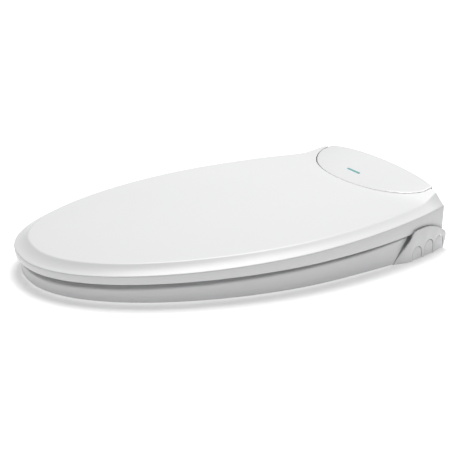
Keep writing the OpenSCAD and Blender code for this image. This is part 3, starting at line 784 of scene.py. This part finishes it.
def set_out(name, shape, spots, material, body, slot, *replaced):
    """Copies of one turned shape, one at each spot, as a single piece."""
    one = bpy.data.objects.new(name + "_one", finish_mesh(shape, name + "_one"))
    pattern = Pattern(name + "_spots", Piece=one, Size=(1.0, 1.0, 1.0))
    points = pattern.node("GeometryNodeMeshToPoints", {}, {"Mesh": pattern.given["Start"]})
    info = pattern.node("GeometryNodeObjectInfo", {}, {"Object": pattern.given["Piece"]}, "Geometry")
    copies = pattern.node("GeometryNodeInstanceOnPoints", {},
                          {"Points": points, "Instance": info, "Scale": pattern.given["Size"]})
    mesh = pattern.run(name, copies, material, spots)
    bpy.data.objects.remove(one)
    piece = link_mesh(name, mesh, material, body, *replaced)
    return piece


def both_sides(spots):
    return [(s * x, y, z) for x, y, z in spots for s in (1, -1)]


def rubber(name, shade):
    """Matt rubber with a fine skin and a little pale dust."""
    skin = Shader(name)
    dust, grain = skin.noise(60.0, 4.0), skin.noise(1400.0, 2.0)
    low, high = (shade, shade, shade * 1.02), (shade * 1.35, shade * 1.35, shade * 1.36)
    skin.set(Base_Color=skin.blend(dust ** 2.0, low, high), Roughness=0.66 + 0.22 * grain, IOR=1.5)
    skin.bump(grain, 0.00005, 0.7)
    return skin.material


pad_grey = rubber("pad_grey", 0.3)
pad_profile = [(0, 0), (5.2, 0), (5.6, 0.3), (6.2, 0.3), (6.6, 0), (7.3, 0.2), (7.8, 0.8), (8, 1.5),
               (8, 2.4), (0, 2.4)]
pad_spots = both_sides([(62, -428, 0), (138, -300, 0), (140, -110, 0)])
set_out("ring_pads", turned(pad_profile), pad_spots, pad_grey, "seat", "grey_rubber", "seat_bumpers")
foot_profile = [(0, 0), (3.2, 0), (4.4, 0.3), (5, 1.1), (5, 6.8), (4.6, 7.2), (4.6, 8.5), (0, 8.5)]
foot_spots = both_sides([(134, 0, 0), (112, -22, 0), (112, 40, 0)])
set_out("tray_feet", turned(foot_profile), foot_spots, pad_grey, "base", "grey_rubber", "base_feet")
lid_pads = bmesh.new()
for x, y in ((58, -418), (150, -150), (-58, -418), (-150, -150)):
    low, high = seat_wall_z(y) + 9.8, lid_z(x, y) - WALL - 0.6
    post = turned([(0, 0), (3.6, 0), (5.2, 0.5), (5.9, 1.6), (6, 3), (6, high - low), (0, high - low)])
    part = finish_mesh(post, "lid_pad")
    part.transform(Matrix.Translation(Vector((x, y, low)) * MM))
    lid_pads.from_mesh(part)
lid_pads = link_mesh("lid_pads", finish_mesh(lid_pads, "lid_pads"), pad_grey, "lid", "lid_bumpers")

# ---- Housing, tray and their screws ----
# The white body under the panel, closed below by a satin tray. Six cross-head
# screws hold the tray on, and eight more join the two halves of the ring.

housing_white = white_moulding("housing_white", 0.83, 0.3)
softened("housing_cover", "housing", housing_white, "base", 0.35)
softened("nozzle_guard", "nozzle_flap", housing_white, "base", 0.25)


def satin_plastic(name, low, high, gloss=0.45, grain_size=900.0):
    """Spark-etched plastic: an even fine grain with soft cloudy flow marks."""
    plastic = Shader(name)
    flow, grain = plastic.noise(9.0, 3.0), plastic.noise(grain_size, 2.0)
    plastic.set(Base_Color=plastic.blend(flow, low, high),
                Roughness=gloss + 0.12 * grain + 0.05 * flow, IOR=1.49)
    plastic.bump(grain * 0.8 + 0.2 * flow, 0.00004, 0.6)
    return plastic.material


tray_white = satin_plastic("tray_white", (0.72, 0.72, 0.725), (0.77, 0.77, 0.77))
softened("base_tray", "tray", tray_white, "base", 0.35)


def brushed_metal(name, low, high, grain, gloss=0.28):
    """Plated steel: fine drawn lines that run one way, and a few dull spots."""
    metal = Shader(name)
    lines, spots = metal.noise(600.0, 3.0, stretch=grain), metal.noise(40.0, 3.0)
    metal.set(Base_Color=metal.blend(spots, low, high),
              Roughness=gloss + 0.2 * lines + 0.1 * spots, Metallic=1.0)
    metal.bump(lines, 0.00002, 0.5)
    return metal.material


steel = brushed_metal("plated_steel", (0.52, 0.52, 0.54), (0.66, 0.66, 0.67), (1.0, 0.1, 1.0))


def cross_head(radius, deep, shank):
    """A screw whose head faces down, with a cross let into it."""
    head = turned([(0, 0.5), (radius * 0.55, 0.1), (radius * 0.92, 0.35), (radius, 0.8), (radius, 1.9),
                   (1.6, 1.9), (1.6, shank), (0, shank)], 32)
    for vert in head.verts:
        x, y, z = vert.co / MM
        if z < 0.6 and min(abs(x), abs(y)) < 0.5 and max(abs(x), abs(y)) < radius * 0.7:
            vert.co.z = deep * MM
    return head


SCREW_Z = 6.6
screw_spots = [(-128, -24, SCREW_Z), (128, -24, SCREW_Z), (-132, 44, SCREW_Z), (132, 44, SCREW_Z),
               (-40, -24, SCREW_Z), (40, -24, SCREW_Z)]
set_out("tray_screws", cross_head(3.4, 1.2, 9.9), screw_spots, steel, "base", "steel", "base_screws")
plate_screws = both_sides([(40, -437, 1.9), (118, -350, 2.6), (150, -215, 3.1), (96, -82, 3.1)])
set_out("ring_screws", cross_head(2.6, 1.1, 2.4), plate_screws, steel, "seat", "steel")

# ---- Hinge ----
# Steel pins in two damped barrels carry both pairs of arms: the ring's arms are
# bolted to its back face, and the lid's lugs stand under its own two arms.

softened("seat_hinge_arms", "ring_arms", seat_white, "seat", 0.4)
softened("lid_hinge_lugs", "lid_lugs", lid_white, "lid", 0.3)
dark_plastic = satin_plastic("dark_plastic", (0.045, 0.045, 0.05), (0.075, 0.075, 0.08), 0.4, 1200.0)


def dress(material, *names):
    """Gives CAD nodes that keep their own shape a finished material."""
    for name in names:
        for slot in nodes[name].material_slots:
            slot.material = material


dress(steel, "hinge_pins")
dress(dark_plastic, "hinge_dampers")

# ---- Bracket ----
# A white plate that stays bolted to the bowl while the seat slides off it. Thin
# grey rubber on its top keeps it from rattling, and its slots take two bolts.

bracket_white = satin_plastic("bracket_white", (0.7, 0.7, 0.7), (0.76, 0.76, 0.755), 0.5)
softened("mounting_bracket", "bracket", bracket_white, "mounting_bracket", 0.4)
dress(rubber("sheet_grey", 0.24), "bracket_pad")
button_grey = satin_plastic("button_grey", (0.4, 0.41, 0.42), (0.46, 0.47, 0.48), 0.38)
softened("release_button", "release_cap", button_grey, "release_button", 0.8)

# ---- Water inlet and mains gland ----
# A plated brass spigot with a half-inch thread and a fine strainer comes out of
# the back at one side, and the grey rubber gland for the mains lead at the other.


def lay_back(made, x, y, z):
    """Turns a shape from its Z axis to point backwards, and puts it at a place."""
    made.transform(Matrix.Translation(Vector((x, y, z)) * MM) @ Matrix.Rotation(math.radians(-90), 4, "X"))
    return made


INLET = (-102.0, 44.0, 26.0)
GLAND = (105.0, 50.0, 26.0)
spigot = turned([(0, 3.0), (4, 3.0), (4, 0.4), (7.4, -0.1), (8, 0.3), (11.2, 0.3), (11.6, 0.8), (11.6, 1.6),
                 (11.2, 2.0), (9.7, 2.0), (9.7, 12.7), (9.0, 13.4), (7.4, 13.5), (7.0, 13.1), (7.0, 3.3),
                 (6.6, 3.2), (0, 3.2)], 64)
spigot_mesh = finish_mesh(spigot, "inlet_spigot")
thread = Pattern("inlet_thread", Turns=5.6, Height=0.0102, Radius=0.0100, Ridge=0.00042)
helix = thread.node("GeometryNodeCurveSpiral", {},
                    {"Resolution": 40, "Rotations": thread.given["Turns"],
                     "Start Radius": thread.given["Radius"], "End Radius": thread.given["Radius"],
                     "Height": thread.given["Height"]})
ridge = thread.node("GeometryNodeCurvePrimitiveCircle", {},
                    {"Resolution": 6, "Radius": thread.given["Ridge"]})
swept = thread.node("GeometryNodeCurveToMesh", {},
                    {"Curve": helix, "Profile Curve": ridge, "Fill Caps": True})
raised = thread.node("GeometryNodeTransform", {},
                     {"Geometry": swept, "Translation": (0.0, 0.0, 0.0024)})
nickel = brushed_metal("nickel", (0.58, 0.56, 0.52), (0.7, 0.68, 0.64), (1.0, 1.0, 1.0), 0.18)
thread_mesh = thread.run("inlet_ridge", raised, nickel)
fitting = bmesh.new()
fitting.from_mesh(spigot_mesh)
fitting.from_mesh(thread_mesh)
fitting_mesh = lay_back(finish_mesh(fitting, "inlet_fitting_body"), *INLET)
fitting = link_mesh("inlet_fitting_body", fitting_mesh, nickel, "base", "inlet_fitting")
dress(button_grey, "inlet_strainer")
gland_profile = [(3.5, 0), (8.0, 0), (8.5, 0.5), (8.5, 2.5), (8.0, 3.0), (6.8, 3.2), (6.8, 4.4),
                 (6.2, 4.6), (6.2, 5.2), (6.7, 5.4), (6.6, 6.4), (6.0, 6.6), (6.0, 7.2), (6.3, 7.4),
                 (5.9, 8.0), (3.9, 8.0), (3.5, 7.6), (3.5, 0)]
gland_mesh = lay_back(finish_mesh(turned(gland_profile, 48), "gland"), *GLAND)
gland = link_mesh("gland", gland_mesh, pad_grey, "base", "cord_gland")

# ---- Nozzles and their guide ----
# Two hollow wands that run down a sloping guide. Each is white, rounded at its
# tip, with a row of fine spray holes, and is driven by its own small motor.

nozzle_white = white_moulding("nozzle_white", 0.82, 0.2)
softened("rear_nozzle", "rear_wand", nozzle_white, "rear_nozzle", 0.9)
softened("front_nozzle", "front_wand", nozzle_white, "front_nozzle", 0.9)
dress(bracket_white, "nozzle_guide")
dress(steel, "nozzle_motors")

# ---- Dryer and deodorizer ----
# Two small fans in dark housings: one blows warm air out through the grille at
# the front, the other draws air through a filter drawer in the side.

dress(dark_plastic, "dryer_housing", "dryer_duct", "deodorizer_housing", "inlet_valve")
dress(steel, "dryer_motor")
dress(housing_white, "dryer_grille")


def fan(name, place, count, inner, outer, height, hub, disc, body):
    """A fan wheel: Geometry Nodes sets its blades in a ring round a turned hub."""
    middle = (inner + outer) / 2
    wheel = Pattern(name + "_blades", Count=count, Ring=middle * MM, Tilt=0.35,
                    Blade=((outer - inner) * MM, 1.0 * MM, height * MM))
    ring = wheel.node("GeometryNodeMeshCircle", {},
                      {"Vertices": wheel.given["Count"], "Radius": wheel.given["Ring"]})
    blade = wheel.node("GeometryNodeMeshCube", {}, {"Size": wheel.given["Blade"]})
    spot = wheel.node("GeometryNodeInputPosition", {}, {})
    split = wheel.node("ShaderNodeSeparateXYZ", {}, {"Vector": spot}, "X")
    turn = wheel.node("ShaderNodeMath", {"operation": "ARCTAN2"}, {0: split.node.outputs["Y"], 1: split})
    turn = wheel.node("ShaderNodeMath", {"operation": "ADD"}, {0: turn, 1: wheel.given["Tilt"]})
    around_z = wheel.node("ShaderNodeCombineXYZ", {}, {"Z": turn})
    points = wheel.node("GeometryNodeMeshToPoints", {}, {"Mesh": ring})
    copies = wheel.node("GeometryNodeInstanceOnPoints", {},
                        {"Points": points, "Instance": blade, "Rotation": around_z})
    raised = wheel.node("GeometryNodeTransform", {},
                        {"Geometry": copies, "Translation": (0.0, 0.0, height * MM / 2)})
    blades = wheel.run(name + "_ring", raised, dark_plastic)
    whole = turned(hub, 32)
    whole.from_mesh(blades)
    if disc:
        plate = bpy.data.meshes.new("disc")
        turned(disc, 48).to_mesh(plate)
        whole.from_mesh(plate)
    mesh = finish_mesh(whole, name)
    mesh.transform(Matrix.Translation(Vector(place) * MM))
    piece = link_mesh(name, mesh, dark_plastic, body, body)


fan("dryer_wheel", (63, 25, 15.6), 20, 12, 17.4, 14.0,
    [(0, 0), (4.4, 0), (5, 0.6), (5, 15.6), (1.6, 15.6), (1.6, 8), (0, 8)],
    [(4.8, 13.8), (17.6, 13.8), (18, 14.2), (18, 15.2), (17.6, 15.6), (4.8, 15.6), (4.8, 13.8)],
    "dryer_impeller")
fan("deodorizer_wheel", (-98, -2, 13.5), 9, 4.6, 11.3, 4.6,
    [(0, 0), (4.5, 0), (5, 0.5), (5, 4.3), (4.5, 4.8), (0, 4.8)], None, "deodorizer_impeller")
softened("filter_cartridge", "filter_drawer", button_grey, "filter_cartridge", 0.3)

# ---- Heater, hoses and boards ----
# The instant heater, divider and clear hoses lie on the filter's side. The main
# board is under a cover, and a switch board stands behind the side buttons.

dress(tray_white, "water_heater", "flow_divider", "board_cover")
hose = Shader("clear_hose")
hose_haze, hose_rings = hose.noise(120.0), hose.noise(30.0, 1.0, stretch=(20.0, 1.0, 1.0))
hose.set(Base_Color=hose.blend(hose_haze, (0.66, 0.67, 0.68), (0.76, 0.77, 0.78)),
         Roughness=0.25 + 0.2 * hose_haze)
hose.bump(hose_rings, 0.0001, 0.6)
dress(hose.material, "supply_hose", "wash_hose")
board = Shader("board_green")
tracks = board.node("ShaderNodeTexBrick", {},
                    {"Vector": board.place, "Scale": 260.0, "Mortar Size": 0.03}, "Fac")
board_weave = board.noise(1500.0, 2.0)
board.set(Base_Color=board.blend(tracks, (0.02, 0.13, 0.05), (0.06, 0.27, 0.1)),
          Roughness=0.22 + 0.2 * board_weave, Coat_Weight=0.4)
board.bump(tracks, 0.00004, 0.6)
dress(board.material, "main_board", "button_board")
foil = Shader("heater_foil")
creases = foil.noise(220.0, 5.0, 0.65)
foil.set(Base_Color=foil.blend(creases, (0.6, 0.6, 0.62), (0.8, 0.8, 0.82)),
         Roughness=0.22 + 0.25 * creases, Metallic=1.0)
foil.bump(creases, 0.0003, 0.8)
dress(foil.material, "seat_heater")
lens = Shader("lens_white")
flutes = lens.noise(200.0, 2.0, stretch=(8.0, 0.3, 0.3))
lens.set(Base_Color=lens.blend(flutes, (0.82, 0.86, 0.88), (0.9, 0.93, 0.95)),
         Roughness=0.12 + 0.15 * flutes, Coat_Weight=0.3)
lens.bump(flutes, 0.0001, 0.6)
dress(lens.material, "night_light")
